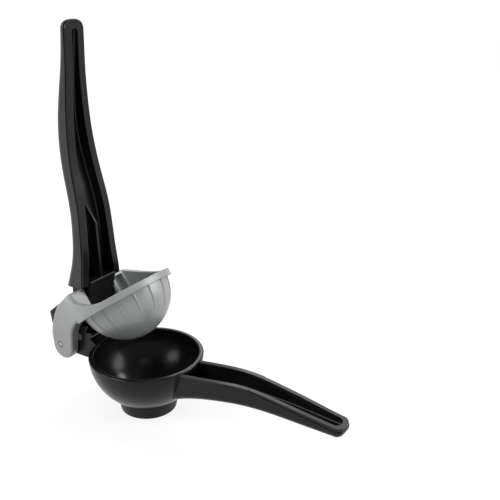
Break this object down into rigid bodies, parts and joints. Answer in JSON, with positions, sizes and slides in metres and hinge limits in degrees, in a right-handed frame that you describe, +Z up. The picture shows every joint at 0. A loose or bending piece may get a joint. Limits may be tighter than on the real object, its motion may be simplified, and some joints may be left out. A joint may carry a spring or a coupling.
{
  "type": "citrus squeezer",
  "caption": "Hand lever press for citrus: a bowl with a drain foot and a handle, and a ribbed dome that a geared upper handle swings down into it.",
  "frame": {"origin": "centre of the foot ring's underside, on the bowl's axis", "axes": "+Z up along the bowl's axis, +X along the lower handle to its tip, +Y across, along the hinge pins; open as in the picture"},
  "size_m": [0.2466, 0.0838, 0.277],
  "materials": {
    "black_nylon": "satin",
    "black_trim": "satin",
    "black_grip": "satin",
    "foot_black": "matte",
    "silver_nylon": "silver satin",
    "steel": "ground"
  },
  "bodies": {
    "lower": {"lower_body": "black_nylon", "lower_trim": "black_trim", "foot_collar": "foot_black", "lug_pin": "steel"},
    "press": {"press_cup": "silver_nylon", "hinge_pin": "steel", "gear_pin": "steel"},
    "lever": {"upper_lever": "black_nylon", "upper_shell": "black_grip"}
  },
  "joints": [
    {"name": "press_hinge", "type": "hinge", "parent": "lower", "child": "press", "pos_m": [-0.0675, 0, 0.0405], "axis": [0, 1, 0], "range_deg": [0, 35]},
    {"name": "lever_hinge", "type": "hinge", "parent": "press", "child": "lever", "pos_m": [-0.0489, 0, 0.08038], "axis": [0, 1, 0], "range_deg": [0, 55.6]}
  ],
  "couplings": [
    {"joint": "lever_hinge", "follows": "press_hinge", "ratio": 1.5882}
  ]
}
